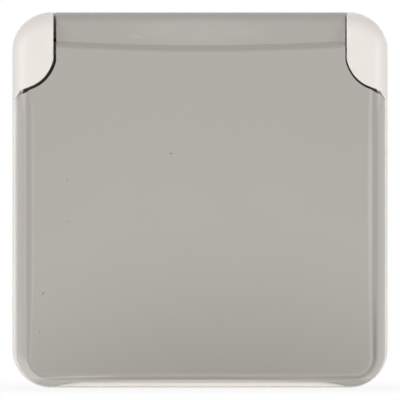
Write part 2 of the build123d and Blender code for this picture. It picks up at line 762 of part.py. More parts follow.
# Body of the lid with flange, scoop, panel, hinge band and pin pockets
pocket_width = (2 * band_half_width - (pocket_count + 1) * knuckle_width) / pocket_count
scoop_edge = lid_bottom + scoop_depth
body_half_width = half_width - wall - lid_rim_gap
body_bottom = -half_height + wall + lid_rim_gap
with BuildPart() as lid_body:
    with BuildSketch(at_depth(lid_back)):
        Rectangle(width, height + 2 * panel_corner_radius)
    extrude(amount=flange_front - lid_back)
    add(panel.part)
    foot_edges = lid_body.edges().filter_by(
        lambda edge: all(
            abs(vertex.Y + flange_front) < near
            and abs(vertex.X) < lid_half_width
            and panel_bottom - scoop_flange / 2 < vertex.Z < half_height
            for vertex in edge.vertices()
        )
    )
    fillet(foot_edges, panel_foot_radius)
    with BuildSketch(at_depth(lid_back)) as outline:
        with Locations((0, lid_bottom)):
            Rectangle(2 * lid_half_width, band_bottom - lid_bottom, align=(Align.CENTER, Align.MIN))
        fillet(outline.vertices().sort_by(Axis.Y)[:2], lid_corner_radius)
        with BuildLine():
            Line((0, scoop_edge), (scoop_width / 2 - scoop_run, scoop_edge))
            scoop_end = TangentArc(
                (scoop_width / 2 - scoop_run, scoop_edge), (scoop_width / 2, lid_bottom), tangent=(1, 0)
            )
            Line(scoop_end @ 1, (0, lid_bottom))
            mirror(about=Plane.YZ)
        make_face(mode=Mode.SUBTRACT)
    extrude(amount=lid_front - lid_back, mode=Mode.INTERSECT)
    rim_edges = lid_body.edges().filter_by(
        lambda edge: all(
            abs(vertex.Y + flange_front) < near
            and (abs(vertex.X) > lid_half_width - near or vertex.Z < scoop_edge + near)
            for vertex in edge.vertices()
        )
    )
    fillet(rim_edges, lid_edge_radius)
    with BuildSketch(Plane.YZ) as outline:
        with Locations((-band_front, band_bottom)):
            Rectangle(band_front - band_back, band_height, align=(Align.MIN, Align.MIN))
        fillet(outline.vertices().sort_by(Axis.Y)[-2:], band_rounding)
        with Locations((-band_front, band_bottom)):
            Rectangle(band_front - lid_back, valley_foot, align=(Align.MIN, Align.MAX))
    extrude(amount=band_half_width, both=True)
    clearing = cheek(hinge_gap)
    add(clearing, mode=Mode.SUBTRACT)
    add(mirror(clearing, about=Plane.YZ, mode=Mode.PRIVATE), mode=Mode.SUBTRACT)
    with BuildSketch(at_depth(lid_back)) as outline:
        with Locations((0, lid_bottom)):
            Rectangle(2 * lid_half_width, band_bottom - lid_bottom, align=(Align.CENTER, Align.MIN))
        with Locations((0, body_bottom)):
            Rectangle(
                2 * body_half_width,
                band_bottom - body_bottom,
                align=(Align.CENTER, Align.MIN),
                mode=Mode.SUBTRACT,
            )
        inner_corners = outline.vertices().filter_by(lambda vertex: abs(vertex.Y - body_bottom) < near)
        fillet(inner_corners, corner_radius - wall - lid_rim_gap)
    extrude(amount=lip_back - lid_back, mode=Mode.SUBTRACT)
    with BuildSketch(at_depth(lid_back)):
        with Locations((0, well_z)):
            RectangleRounded(
                2 * (seal_half_width - seal_width - seal_gap),
                seal_height - 2 * (seal_width + seal_gap),
                seal_corner_radius - seal_width - seal_gap,
            )
    extrude(amount=panel_cavity_front - lid_back, mode=Mode.SUBTRACT)
    add(hinge_cylinder(pin_radius + pin_running_clearance, half_width), mode=Mode.SUBTRACT)
    with BuildSketch(at_depth(band_back)):
        with Locations((0, hinge_z)):
            with GridLocations(pocket_width + knuckle_width, 0, pocket_count, 1):
                Rectangle(pocket_width, 2 * (hinge_drop - lid_wall))
    extrude(amount=band_front - band_wall - band_back, mode=Mode.SUBTRACT)

# The lid, slid to the right by its play on the pin
with BuildPart() as lid:
    with Locations((lid_play, 0, 0)):
        add(lid_body.part)
lid.part.label = "lid"
export_step(lid.part, "parts/lid.step")

# Soft seal in the lid, over the frame's rib
with BuildPart() as lid_seal:
    with BuildSketch(at_depth(frame_front + rib_height + seal_gap)):
        with Locations((lid_play, well_z)):
            RectangleRounded(2 * seal_half_width, seal_height, seal_corner_radius)
            RectangleRounded(
                2 * (seal_half_width - seal_width),
                seal_height - 2 * seal_width,
                seal_corner_radius - seal_width,
                mode=Mode.SUBTRACT,
            )
    extrude(amount=lid_back - frame_front - rib_height - seal_gap)
lid_seal.part.label = "lid_seal"
export_step(lid_seal.part, "parts/lid_seal.step")
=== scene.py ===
# %% [markdown]
# # An outdoor weatherproof socket
# The real thing is a cream wall box with a cream frame screwed to its front, and a grey lid that a
# spring holds shut over the plug well. Its solids come from CAD at their real size, so nothing here
# moves or resizes them. The lesson is about finishes and light: what each plastic, rubber and metal is,
# how its surface was made, and how a few shader nodes show that.

# %% Load the frame
import json
from math import cos, pi, radians, sin

import bpy
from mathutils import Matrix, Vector


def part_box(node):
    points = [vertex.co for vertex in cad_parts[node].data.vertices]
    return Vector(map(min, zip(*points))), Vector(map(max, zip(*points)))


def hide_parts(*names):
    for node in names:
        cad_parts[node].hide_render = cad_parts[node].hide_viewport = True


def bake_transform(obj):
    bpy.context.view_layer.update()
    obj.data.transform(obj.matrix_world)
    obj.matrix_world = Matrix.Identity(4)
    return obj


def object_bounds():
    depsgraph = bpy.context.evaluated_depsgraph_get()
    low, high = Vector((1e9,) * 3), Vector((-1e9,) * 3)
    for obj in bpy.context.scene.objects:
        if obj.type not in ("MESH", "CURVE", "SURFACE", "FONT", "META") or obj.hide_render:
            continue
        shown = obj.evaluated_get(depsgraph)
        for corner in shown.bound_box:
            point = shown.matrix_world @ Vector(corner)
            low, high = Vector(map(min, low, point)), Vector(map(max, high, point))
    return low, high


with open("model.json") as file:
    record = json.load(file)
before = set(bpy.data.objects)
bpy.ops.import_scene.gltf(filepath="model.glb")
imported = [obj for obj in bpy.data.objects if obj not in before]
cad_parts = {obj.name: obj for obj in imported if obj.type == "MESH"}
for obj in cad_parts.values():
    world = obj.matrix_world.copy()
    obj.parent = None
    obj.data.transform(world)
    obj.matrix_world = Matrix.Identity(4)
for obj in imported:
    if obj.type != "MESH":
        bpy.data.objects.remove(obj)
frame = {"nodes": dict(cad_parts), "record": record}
cad_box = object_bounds()
MM = 0.001

# %% [markdown]
# ## Colours and nodes
# A colour picker shows sRGB values, but shader sockets take linear ones, so one function turns a hex
# colour into what a socket needs. A second function adds a shader node, sets its settings and links its
# inputs in one call. The same nodes could be drawn by hand in the shader editor, but written like this
# each material below stays short enough to read as a recipe.

# %% Helpers for every material
# A Mix node that mixes colours takes them on these sockets, and gives the result on the last.
MIX_FACTOR, MIX_FIRST, MIX_SECOND, MIX_RESULT = 0, 6, 7, 2


def linear(colour):
    """An sRGB hex colour as the linear red, green, blue and alpha that a socket takes."""
    channels = [int(colour[at : at + 2], 16) / 255 for at in (1, 3, 5)]
    return [c / 12.92 if c <= 0.04045 else ((c + 0.055) / 1.055) ** 2.4 for c in channels] + [1.0]


def add_node(owner, kind, inputs=None, **settings):
    """Adds a node to a material or world. An input is a value, or the socket to link from."""
    node = owner.node_tree.nodes.new(kind)
    for name, value in settings.items():
        setattr(node, name, value)
    for name, value in (inputs or {}).items():
        if isinstance(value, bpy.types.NodeSocket):
            owner.node_tree.links.new(value, node.inputs[name])
        else:
            node.inputs[name].default_value = value
    return node


def new_material(name):
    """A material with an empty node tree."""
    material = bpy.data.materials.new(name)
    material.use_nodes = True
    material.node_tree.nodes.clear()
    return material


def dress(material, *nodes):
    """Gives CAD nodes this material."""
    for node in nodes:
        for slot in frame["nodes"][node].material_slots:
            slot.material = material
    print(material.name, "on", ", ".join(nodes))


print("half of full sRGB is linear", round(linear("#808080")[0], 3))

# %% [markdown]
# ## Moulded plastic
# Box, frame, lid and insert are injection moulded. The steel of the mould is spark eroded, which leaves
# a very fine matte grain on the plastic, and thick and thin places cool differently, which leaves faint
# clouds in the colour. Dust settles where faces meet, and shade falls there too; both are painted as one
# darker colour in the corners. A painted image could show all this, but it would need a flat map of each
# solid. Noise textures need none: a fine one makes bump and roughness, and a wide one the clouds. An ambient
# occlusion node finds the inner corners for the dust and the painted shade. The grain of the real mould is
# about 0.05 mm, too fine to show, so it is drawn coarser here. Light goes a little way into pale plastic
# and comes out beside the place where it went in, so a glow depth softens its shading.

# %% A recipe for moulded plastic
CLOUD_SIZE, CLOUD_DETAIL = 14 * MM, 4.0
GRAIN_DETAIL, GRAIN_STRENGTH, GRAIN_HEIGHT = 2.0, 0.25, 0.02 * MM
GLOSS_SPREAD = 0.06
EDGE_SOFTENING, EDGE_SAMPLES = 0.12 * MM, 4
# A corner has its full dust and painted shade where less than the first share of its surroundings is open,
# and none past the second.
CORNER_REACH, CORNER_SAMPLES = 2.0 * MM, 8
DARKEST_BELOW, PLAIN_ABOVE = 0.1, 0.7
# How far red, green and blue light travel inside, as shares of the glow depth.
GLOW_SHARES = (1.0, 0.95, 0.85)


def moulded_plastic(name, colour, cloudy, dust_and_shade, grain, roughness, ior, marks=None, glow_depth=0.0):
    """Moulded plastic with this grain size; cloudy is its colour in clouds, and the third colour its colour
    in corners, where dust and painted shade darken it.

    marks is a function that takes material, place and colour, and returns the colour with marks on it.
    glow_depth is how far light travels inside.
    """
    material = new_material(name)
    place = add_node(material, "ShaderNodeTexCoord").outputs["Object"]
    clouds = add_node(
        material,
        "ShaderNodeTexNoise",
        {"Vector": place, "Scale": 1 / CLOUD_SIZE, "Detail": CLOUD_DETAIL},
    ).outputs["Fac"]
    grit = add_node(
        material,
        "ShaderNodeTexNoise",
        {"Vector": place, "Scale": 1 / grain, "Detail": GRAIN_DETAIL},
    ).outputs["Fac"]
    tone = add_node(
        material,
        "ShaderNodeMix",
        {MIX_FACTOR: clouds, MIX_FIRST: linear(colour), MIX_SECOND: linear(cloudy)},
        data_type="RGBA",
    ).outputs[MIX_RESULT]
    if marks:
        tone = marks(material, place, tone)
    openness = add_node(
        material,
        "ShaderNodeAmbientOcclusion",
        {"Distance": CORNER_REACH},
        samples=CORNER_SAMPLES,
        only_local=True,
    ).outputs["AO"]
    open_share = add_node(
        material,
        "ShaderNodeMapRange",
        {"Value": openness, "From Min": DARKEST_BELOW, "From Max": PLAIN_ABOVE},
    ).outputs["Result"]
    # Dust and painted shade: where the ambient occlusion node finds an inner corner, the colour turns to the
    # darker corner colour.
    dusted_and_shaded = add_node(
        material,
        "ShaderNodeMix",
        {MIX_FACTOR: open_share, MIX_FIRST: linear(dust_and_shade), MIX_SECOND: tone},
        data_type="RGBA",
    ).outputs[MIX_RESULT]
    gloss = add_node(
        material,
        "ShaderNodeMapRange",
        {"Value": grit, "To Min": roughness - GLOSS_SPREAD, "To Max": roughness + GLOSS_SPREAD},
    ).outputs["Result"]
    soft_edges = add_node(
        material, "ShaderNodeBevel", {"Radius": EDGE_SOFTENING}, samples=EDGE_SAMPLES
    ).outputs["Normal"]
    bump = add_node(
        material,
        "ShaderNodeBump",
        {"Height": grit, "Normal": soft_edges, "Strength": GRAIN_STRENGTH, "Distance": GRAIN_HEIGHT},
    ).outputs["Normal"]
    surface = add_node(
        material,
        "ShaderNodeBsdfPrincipled",
        {
            "Base Color": dusted_and_shaded,
            "Roughness": gloss,
            "IOR": ior,
            "Normal": bump,
            "Subsurface Weight": 1.0 if glow_depth else 0.0,
            "Subsurface Scale": glow_depth,
            "Subsurface Radius": GLOW_SHARES,
        },
    )
    add_node(material, "ShaderNodeOutputMaterial", {"Surface": surface.outputs["BSDF"]})
    return material


# %% The insert and the contact carrier
# Polycarbonate from a smoother mould: a clean white with a soft shine.
white_polycarbonate = moulded_plastic(
    "white_polycarbonate", "#E9E7E1", "#E6E4DD", "#CBC7BE", grain=0.25 * MM, roughness=0.3, ior=1.58
)
# Thermoset pressed from filled powder: dark, duller and faintly mottled.
dark_thermoset = moulded_plastic(
    "dark_thermoset", "#3E3D3C", "#4A4847", "#2C2B2A", grain=0.4 * MM, roughness=0.5, ior=1.6
)
dress(white_polycarbonate, "socket_insert")
dress(dark_thermoset, "contact_carrier")

# %% [markdown]
# ## The cream frame and its hinge gap
# Box and frame are moulded from cream ASA, a plastic that stands sun. The lid swings close round the two
# ears, and the narrow gap between them lies in deep shade, so it looks nearly black. That shade is painted
# as a dark colour on the ears. An ear is round about the hinge, so the painted shade is found from two
# lengths only: how far a point is from the socket's middle, and how far from the hinge's axis. In those two
# lengths an ear is a rounded box, and a helper measures how far a point lies from such a box.

# %% Distance from a rounded box
ORIGIN = (0, 0, 0)
# Half the length of a box along an axis where its ends don't matter.
ENDLESS = 1.0


def outline_distance(owner, point, box_middle, half, corner):
    """How far a point lies from the core of a rounded box. On the box's outline that is its corner radius."""
    core = [length - corner for length in half]
    steps = (("SUBTRACT", box_middle), ("ABSOLUTE", ORIGIN), ("SUBTRACT", core), ("MAXIMUM", ORIGIN))
    for operation, other in steps:
        node = add_node(owner, "ShaderNodeVectorMath", {0: point, 1: other}, operation=operation)
        point = node.outputs["Vector"]
    return add_node(owner, "ShaderNodeVectorMath", {0: point}, operation="LENGTH").outputs["Value"]


# %% Painted shade on the ears
HINGE = frame["record"]["behaviour"]["joints"][0]["pos_m"]
# The ears' undersides inside the hinge gap are painted this dark colour, as painted shade.
HINGE_GAP_SHADE = "#625A50"
GAP_SHADE_DEPTH = 0.08 * MM
# An ear as a box: from its inner end outwards, with the ear's radius as its half height.
EAR_INNER, EAR_LENGTH, EAR_RADIUS, EAR_ROUNDING = 30.75 * MM, 40 * MM, 12.5 * MM, 7.6 * MM
EAR_MIDDLE = (EAR_INNER + EAR_LENGTH / 2, 0, 0)
EAR_HALF = (EAR_LENGTH / 2, ENDLESS, EAR_RADIUS)
# The gap ends here: sideways, towards the wall and upwards.
GAP_END, GAP_BACK, GAP_TOP = 37.7 * MM, -46 * MM, 31 * MM
# Only the lengths across the hinge's axis count for the distance from it.
ACROSS_AXIS = (0, 1, 1)


def hinge_gap_shade(material, place, colour):
    """The frame's colour with painted shade on the round undersides of its ears, inside the hinge gap."""
    axes = add_node(material, "ShaderNodeSeparateXYZ", {"Vector": place}).outputs
    sideways = add_node(material, "ShaderNodeMath", {0: axes["X"]}, operation="ABSOLUTE").outputs["Value"]
    spoke = place
    for operation, other in (("SUBTRACT", HINGE), ("MULTIPLY", ACROSS_AXIS)):
        node = add_node(material, "ShaderNodeVectorMath", {0: spoke, 1: other}, operation=operation)
        spoke = node.outputs["Vector"]
    radius = add_node(material, "ShaderNodeVectorMath", {0: spoke}, operation="LENGTH").outputs["Value"]
    flat = add_node(material, "ShaderNodeCombineXYZ", {"X": sideways, "Z": radius}).outputs["Vector"]
    distance = outline_distance(material, flat, EAR_MIDDLE, EAR_HALF, EAR_ROUNDING)
    gap_shade = add_node(
        material, "ShaderNodeMath", {0: distance, 1: EAR_ROUNDING, 2: GAP_SHADE_DEPTH}, operation="COMPARE"
    ).outputs["Value"]
    for along, end in ((sideways, GAP_END), (axes["Y"], GAP_BACK), (axes["Z"], GAP_TOP)):
        inside = add_node(material, "ShaderNodeMath", {0: along, 1: end}, operation="LESS_THAN")
        both = {0: gap_shade, 1: inside.outputs["Value"]}
        gap_shade = add_node(material, "ShaderNodeMath", both, operation="MULTIPLY").outputs["Value"]
    return add_node(
        material,
        "ShaderNodeMix",
        {MIX_FACTOR: gap_shade, MIX_FIRST: colour, MIX_SECOND: linear(HINGE_GAP_SHADE)},
        data_type="RGBA",
    ).outputs[MIX_RESULT]


# ASA from a spark eroded mould: a warm white, matte, with soft shading from the light inside it.
cream_asa = moulded_plastic(
    "cream_asa",
    "#F3EDE8",
    "#F0EAE5",
    "#B0A89C",
    grain=0.3 * MM,
    roughness=0.42,
    ior=1.52,
    marks=hinge_gap_shade,
    glow_depth=0.8 * MM,
)
dress(cream_asa, "front_frame", "back_box")

# %% [markdown]
# ## The lid
# The lid is the same kind of plastic in grey. Its narrow flange was left smooth in the mould, and its
# paler colour than the grained panel is painted sheen, standing in for the reflection on that smooth face.
# Weather and hands have marked both, and painted shade and painted highlights lie on them too. All of it
# could be painted on one image, but each mark has its own cause and place. So each kind of mark gets a
# function that returns layers: how much of the mark is at a point, and its colour. The layers are mixed
# over the plain grey one after the other.

# %% Places on the lid
low, high = (Vector(corner) for corner in cad_box)
PANEL_FACE = low.y
BAND_FACE, FLANGE_FACE = PANEL_FACE + 1.3 * MM, PANEL_FACE + 1.8 * MM
# The second colour is the flange's: paler than the grey, as painted sheen for the reflection on its smooth
# face.
LID_GREY, FLANGE_SHEEN = "#B3AFA9", "#BFBBB6"
# The panel's outline on the flange: middle, half size and corner radius.
PANEL_MIDDLE = (0.18 * MM, 0, 10.9 * MM)
PANEL_HALF = (37.0 * MM, ENDLESS, 49.0 * MM)
PANEL_CORNER = 4.4 * MM
# The panel's slope ends and its face begins this far inside the outline.
SLOPE_END, FACE_BEGIN = 0.8 * MM, 1.2 * MM
# Half the width over which the panel's colour turns into the flange's.
FLANGE_FADE = 0.2 * MM
print("panel", round(PANEL_FACE / MM, 2), "band", round(BAND_FACE / MM, 2), "mm")

# %% [markdown]
# ### Dust and painted shade in the groove
# A dark line of dust and painted shade lies in the groove between panel and flange. It is thinner along
# the lower edge, it fades out round the scoop there, and it is darker near the lower right corner. An
# ambient occlusion node could find the groove, but it is too shallow to show clearly. The distance from
# the panel's outline gives a line of even width instead, and the distances from scoop and corner make it
# fainter or darker.

# %% Dust and painted shade
# The groove's line is dust with painted shade, and the second colour darkens it near the lower right corner.
GROOVE_DUST_AND_SHADE, GROOVE_CORNER_DARK = "#A6A29B", "#8C8881"
# The outline that the line follows, half the width of both lines, and the share of that where they are full.
GROOVE_LINE_MIDDLE = (0.35 * MM, 0, 10.9 * MM)
GROOVE_LINE_OUTLINE = (36.9 * MM, ENDLESS, 48.85 * MM)
GROOVE_LINE_HALF, CORNER_LINE_HALF, LINE_CORE = 0.95 * MM, 0.55 * MM, 0.2
# Between these heights the line thins to this share.
THINNING_TOP, THINNING_BOTTOM, THIN_SHARE = -33 * MM, -37 * MM, 0.35
# Round the scoop the line is gone within the first distance, and full past the second.
SCOOP = (0, FLANGE_FACE, -38 * MM)
GONE_WITHIN, FULL_PAST = 14 * MM, 30 * MM
# The darker part begins at the first distance from the corner, and is full within the second.
DARK_CORNER = (37 * MM, FLANGE_FACE, -35 * MM)
DARK_BEGIN, DARK_FULL = 19 * MM, 3 * MM


def groove_dust_and_shade(material, place):
    """Layers of dust with painted shade along the groove round the panel, and of the darker part near the
    corner.
    """
    height = add_node(material, "ShaderNodeSeparateXYZ", {"Vector": place}).outputs["Z"]
    from_scoop, from_corner = (
        add_node(material, "ShaderNodeVectorMath", {0: place, 1: spot}, operation="DISTANCE").outputs["Value"]
        for spot in (SCOOP, DARK_CORNER)
    )
    thin = add_node(
        material,
        "ShaderNodeMapRange",
        {"Value": from_scoop, "From Min": GONE_WITHIN, "From Max": FULL_PAST, "To Max": THIN_SHARE},
    ).outputs["Result"]
    line_share = add_node(
        material,
        "ShaderNodeMapRange",
        {"Value": height, "From Min": THINNING_BOTTOM, "From Max": THINNING_TOP, "To Min": thin},
    ).outputs["Result"]
    distance = outline_distance(material, place, GROOVE_LINE_MIDDLE, GROOVE_LINE_OUTLINE, PANEL_CORNER)
    off_line = add_node(
        material, "ShaderNodeMath", {0: distance, 1: PANEL_CORNER}, operation="SUBTRACT"
    ).outputs["Value"]
    aside = add_node(material, "ShaderNodeMath", {0: off_line}, operation="ABSOLUTE").outputs["Value"]
    dust_and_shade, corner_line = (
        add_node(
            material,
            "ShaderNodeMapRange",
            {"Value": aside, "From Min": half, "From Max": LINE_CORE * half, "To Max": line_share},
            interpolation_type="SMOOTHSTEP",
        ).outputs["Result"]
        for half in (GROOVE_LINE_HALF, CORNER_LINE_HALF)
    )
    corner_darkening = add_node(
        material,
        "ShaderNodeMapRange",
        {"Value": from_corner, "From Min": DARK_BEGIN, "From Max": DARK_FULL, "To Max": corner_line},
        interpolation_type="SMOOTHSTEP",
    ).outputs["Result"]
    return [(dust_and_shade, GROOVE_DUST_AND_SHADE), (corner_darkening, GROOVE_CORNER_DARK)]


print("dust line", round(2 * GROOVE_LINE_HALF / MM, 2), "mm wide")

# %% [markdown]
# ### Painted shade on the panel
# The panel is painted darker towards its lower end and a little darker at the top, as painted shade where
# less light falls. A plain gradient would end in a straight edge, but each shade is given a wide arc.
# So the distance from the middle of that arc fades its colour in.

# %% Painted shade on the panel
# Each shade: middle of its arc, distance where it begins, where it is full, and colour.
PANEL_SHADES = [
    # Painted shade: darker towards the panel's lower end.
    ((6.7 * MM, PANEL_FACE, -106 * MM), 102 * MM, 52 * MM, "#98948D"),
    # Painted shade: a little darker towards the top.
    ((0, PANEL_FACE, -63 * MM), 60 * MM, 88 * MM, "#AFABA5"),
]


def painted_panel_shades(material, place, on_face):
    """Layers of painted shade, only where the panel's face is."""
    layers = []
    for arc_middle, begin, full, tint in PANEL_SHADES:
        reach = add_node(
            material, "ShaderNodeVectorMath", {0: place, 1: arc_middle}, operation="DISTANCE"
        ).outputs["Value"]
        shade_share = add_node(
            material,
            "ShaderNodeMapRange",
            {"Value": reach, "From Min": begin, "From Max": full, "To Max": on_face},
            interpolation_type="SMOOTHSTEP",
        ).outputs["Result"]
        layers.append((shade_share, tint))
    return layers


print(len(PANEL_SHADES), "films")

# %% [markdown]
# ### Grit, scratches, wear, painted highlights and painted shade
# The band is painted darker towards its ends, as painted shade, and something has scratched it. A few
# grains of dark grit stick to the panel. Its right edge, a lower corner and the edge beside it carry painted
# highlights. The flange along the scoop is painted darker, as painted shade, the scoop's edge is worn pale,
# and the flange is darker at its right. A noise can't put such marks in their places. So each is a soft spot
# from a table: a mapping node moves and stretches space until the spot is a ball of radius 1 there, and the
# distance from its middle fades its colour in.

# %% Soft spots
GRIT, PALE_GRIT = "#8A867E", "#9B978F"
# Several of these colours are painted shade or painted highlights, as the marks below say.
SCOOP_FLANGE_SHADE, RIGHT_FLANGE_DARK, BAND_END_SHADE = "#A39F97", "#A8A49E", "#AEAAA4"
SCRATCH, RIGHT_EDGE_HIGHLIGHT, EDGE_HIGHLIGHT, WORN = "#BCB8B1", "#C0BCB5", "#CAC7C2", "#DAD6D0"
DEEP, SHALLOW = 1.5 * MM, 0.35 * MM
# A spot fades in from the first share of its size to the second.
SPOT_END, SPOT_FULL = 1.2, 0.6
# Each mark: place, half size along, into and across the lid, turn and colour.
LID_MARKS = [
    # Painted shade: the band darker towards both ends, and its middle kept grey.
    ((-30 * MM, BAND_FACE, 35 * MM), (20 * MM, DEEP, 6 * MM), 0, BAND_END_SHADE),
    ((30 * MM, BAND_FACE, 35 * MM), (20 * MM, DEEP, 6 * MM), 0, BAND_END_SHADE),
    ((0, BAND_FACE, 36.2 * MM), (14 * MM, DEEP, 3.2 * MM), 0, LID_GREY),
    ((-6.2 * MM, PANEL_FACE, 9.9 * MM), (0.28 * MM, DEEP, 0.26 * MM), 0, GRIT),
    ((-33.4 * MM, PANEL_FACE, -19.9 * MM), (0.22 * MM, DEEP, 0.3 * MM), 0, GRIT),
    ((-28.3 * MM, PANEL_FACE, 4.4 * MM), (0.22 * MM, DEEP, 0.22 * MM), 0, PALE_GRIT),
    ((-28.0 * MM, PANEL_FACE, -4.6 * MM), (0.18 * MM, DEEP, 0.18 * MM), 0, PALE_GRIT),
    ((-34.2 * MM, PANEL_FACE, -28.2 * MM), (0.22 * MM, DEEP, 0.26 * MM), 0, PALE_GRIT),
    ((-14.4 * MM, BAND_FACE, 35.0 * MM), (0.6 * MM, DEEP, 0.13 * MM), radians(-8), SCRATCH),
    ((-13.2 * MM, BAND_FACE, 34.8 * MM), (0.8 * MM, DEEP, 0.13 * MM), radians(25), SCRATCH),
    # A painted highlight on the flange's lower left corner.
    ((-36.2 * MM, FLANGE_FACE, -36.6 * MM), (5.0 * MM, SHALLOW, 1.6 * MM), radians(45), EDGE_HIGHLIGHT),
    # A painted highlight along the panel's lower edge beside it.
    ((-26.5 * MM, FLANGE_FACE, -37.7 * MM), (10 * MM, DEEP, 0.22 * MM), radians(-1.1), EDGE_HIGHLIGHT),
    # A painted highlight along the panel's right edge.
    ((36.35 * MM, PANEL_FACE, 0), (0.48 * MM, DEEP, 26 * MM), 0, RIGHT_EDGE_HIGHLIGHT),
    ((-29.5 * MM, FLANGE_FACE, -39 * MM), (8 * MM, DEEP, 1.1 * MM), 0, LID_GREY),
    # The flange darker at its right.
    ((30.5 * MM, FLANGE_FACE, -39 * MM), (8 * MM, DEEP, 1.1 * MM), 0, RIGHT_FLANGE_DARK),
    # Painted shade along the flange at the scoop.
    ((0, FLANGE_FACE, -38.3 * MM), (29 * MM, DEEP, 0.7 * MM), 0, SCOOP_FLANGE_SHADE),
    ((0, FLANGE_FACE, -38.65 * MM), (28 * MM, DEEP, 0.26 * MM), 0, WORN),
]


def soft_spots(material, place):
    """Layers of soft spots, one for each mark."""
    layers = []
    for spot_middle, half, turn, tint in LID_MARKS:
        ball = add_node(
            material,
            "ShaderNodeMapping",
            {"Vector": place, "Location": spot_middle, "Rotation": (0, turn, 0), "Scale": half},
            vector_type="TEXTURE",
        ).outputs["Vector"]
        reach = add_node(material, "ShaderNodeVectorMath", {0: ball}, operation="LENGTH").outputs["Value"]
        share = add_node(
            material, "ShaderNodeMapRange", {"Value": reach, "From Min": SPOT_END, "From Max": SPOT_FULL}
        ).outputs["Result"]
        layers.append((share, tint))
    return layers


print(len(LID_MARKS), "spots")


# %% The lid's plastic
def lid_marks(material, place, colour):
    """The lid's colour with its paler flange as painted sheen, the groove's dust and painted shade, the
    panel's painted shade, and spots over it.
    """
    distance = outline_distance(material, place, PANEL_MIDDLE, PANEL_HALF, PANEL_CORNER)
    on_flange, on_face = (
        add_node(
            material,
            "ShaderNodeMapRange",
            {"Value": distance, "From Min": PANEL_CORNER - begin, "From Max": PANEL_CORNER - full},
        ).outputs["Result"]
        for begin, full in ((FLANGE_FADE, -FLANGE_FADE), (SLOPE_END, FACE_BEGIN))
    )
    layers = [(on_flange, FLANGE_SHEEN)]
    layers += groove_dust_and_shade(material, place)
    layers += painted_panel_shades(material, place, on_face)
    layers += soft_spots(material, place)
    for share, tint in layers:
        colour = add_node(
            material,
            "ShaderNodeMix",
            {MIX_FACTOR: share, MIX_FIRST: colour, MIX_SECOND: linear(tint)},
            data_type="RGBA",
        ).outputs[MIX_RESULT]
    return colour


# ASA coloured through with grey: as matte as the frame, but its pigment lets no light in.
grey_asa = moulded_plastic(
    "grey_asa", LID_GREY, "#B0ACA6", "#8A857E", grain=0.3 * MM, roughness=0.42, ior=1.52, marks=lid_marks
)
dress(grey_asa, "lid")

# %% [markdown]
# ## Rubber
# The seals and the cable entry are moulded from EPDM, a black rubber that stands weather. A plain black
# would look like a hole. The real rubber scatters light softly, and a pale bloom of wax comes to its
# surface, so a wide noise brings in the bloom and a fine one breaks up the shine.

# %% EPDM rubber
BLOOM_SIZE, BLOOM_DETAIL = 5 * MM, 5.0
RUBBER_GRAIN, RUBBER_STRENGTH, RUBBER_HEIGHT = 0.4 * MM, 0.3, 0.03 * MM
RUBBER_BLACK, RUBBER_BLOOM = "#1C1C1D", "#333230"

# EPDM with its wax bloom: near black, with a dull sheen that varies.
epdm = new_material("epdm_rubber")
rubber_place = add_node(epdm, "ShaderNodeTexCoord").outputs["Object"]
bloom = add_node(
    epdm,
    "ShaderNodeTexNoise",
    {"Vector": rubber_place, "Scale": 1 / BLOOM_SIZE, "Detail": BLOOM_DETAIL},
).outputs["Fac"]
rubber_tone = add_node(
    epdm,
    "ShaderNodeMix",
    {MIX_FACTOR: bloom, MIX_FIRST: linear(RUBBER_BLACK), MIX_SECOND: linear(RUBBER_BLOOM)},
    data_type="RGBA",
).outputs[MIX_RESULT]
rubber_grit = add_node(
    epdm, "ShaderNodeTexNoise", {"Vector": rubber_place, "Scale": 1 / RUBBER_GRAIN}
).outputs["Fac"]
rubber_bump = add_node(
    epdm,
    "ShaderNodeBump",
    {"Height": rubber_grit, "Strength": RUBBER_STRENGTH, "Distance": RUBBER_HEIGHT},
).outputs["Normal"]
rubber_surface = add_node(
    epdm,
    "ShaderNodeBsdfPrincipled",
    {"Base Color": rubber_tone, "Roughness": 0.7, "IOR": 1.48, "Normal": rubber_bump},
)
add_node(epdm, "ShaderNodeOutputMaterial", {"Surface": rubber_surface.outputs["BSDF"]})
dress(epdm, "lid_seal", "insert_seal", "box_seal", "cable_grommet")

# %% [markdown]
# ## Metal
# Zinc-plated steel is used for the screws, bright spring steel for the springs, and brass for the contacts.
# The hinge pin is steel too, dark with old grease. All are metallic, with the colour in the reflection.
# One even roughness would look like chrome paint. Handling and rolling leave patches of different gloss,
# so noise moves the roughness, and a second colour tarnishes them a little.

# %% A recipe for bare and plated metal
TARNISH_SIZE, TARNISH_DETAIL = 3 * MM, 5.0
ROLLING_MARK, MARK_STRENGTH, MARK_HEIGHT = 0.25 * MM, 0.2, 0.01 * MM
# Patches are this much smoother or rougher than the metal's own roughness.
SMOOTHER, ROUGHER = 0.1, 0.12


